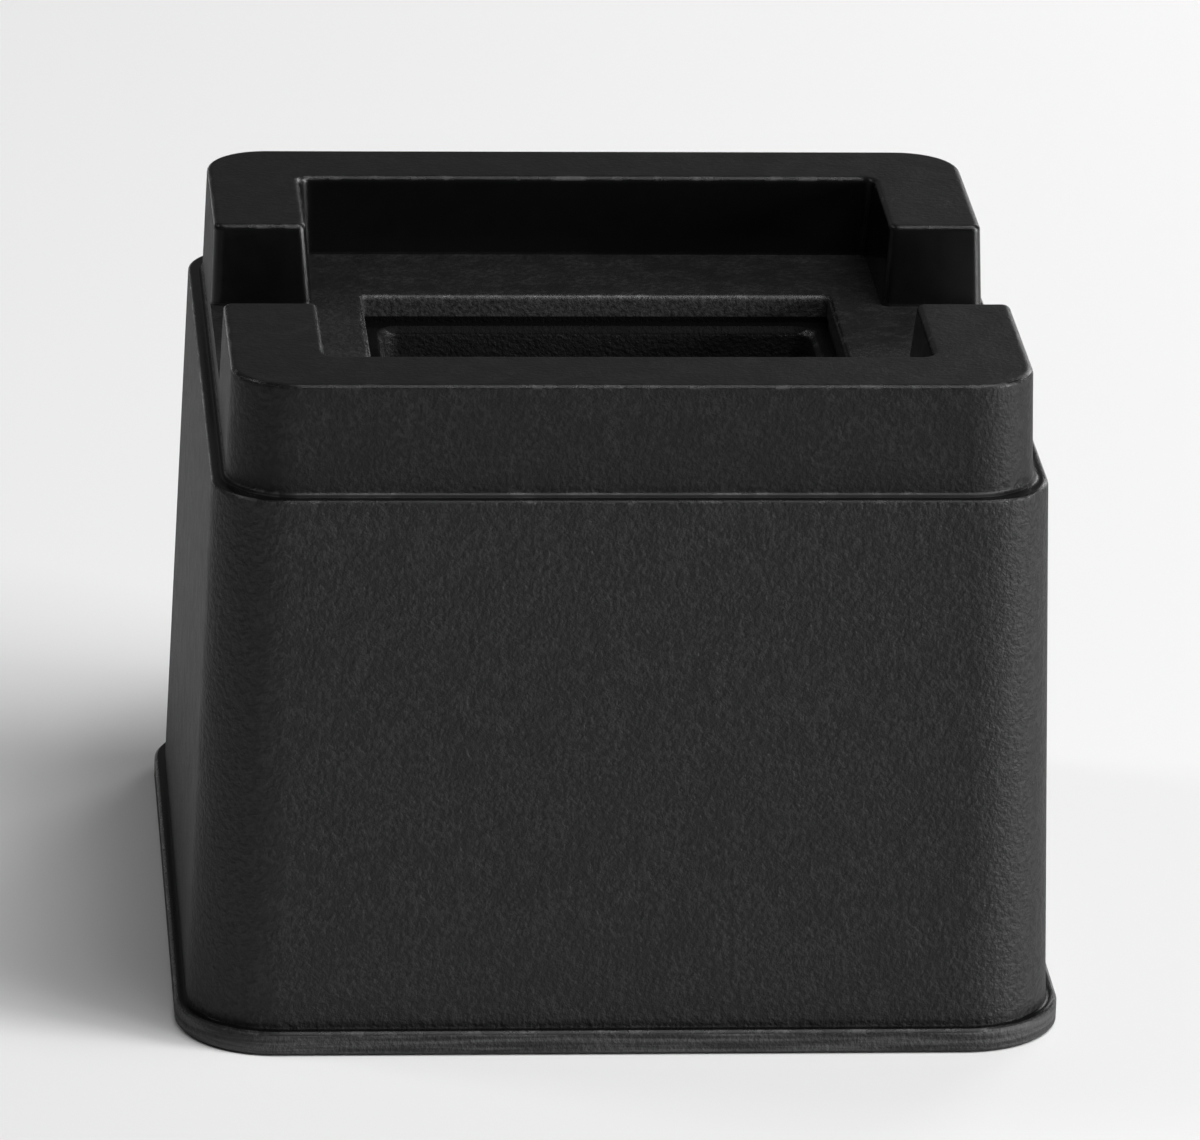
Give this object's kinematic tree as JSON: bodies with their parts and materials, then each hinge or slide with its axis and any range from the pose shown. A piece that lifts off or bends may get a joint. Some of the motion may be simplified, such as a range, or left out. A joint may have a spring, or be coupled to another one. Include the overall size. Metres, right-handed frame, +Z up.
{
  "type": "bed riser",
  "caption": "Stackable black plastic bed riser: drafted square skirt with a foot rim, a ledge, and a split square collar round a leg recess with a centre well.",
  "frame": {"origin": "on the ground, under the middle of the foot", "axes": "+Z up through the middle of the recess; the open sides of the collar face +X and -X"},
  "size_m": [0.1122, 0.1122, 0.0867],
  "materials": {
    "black_plastic": "fine moulded grain, satin on the rim and the recess"
  },
  "bodies": {
    "root": {"riser": "black_plastic"}
  },
  "joints": []
}
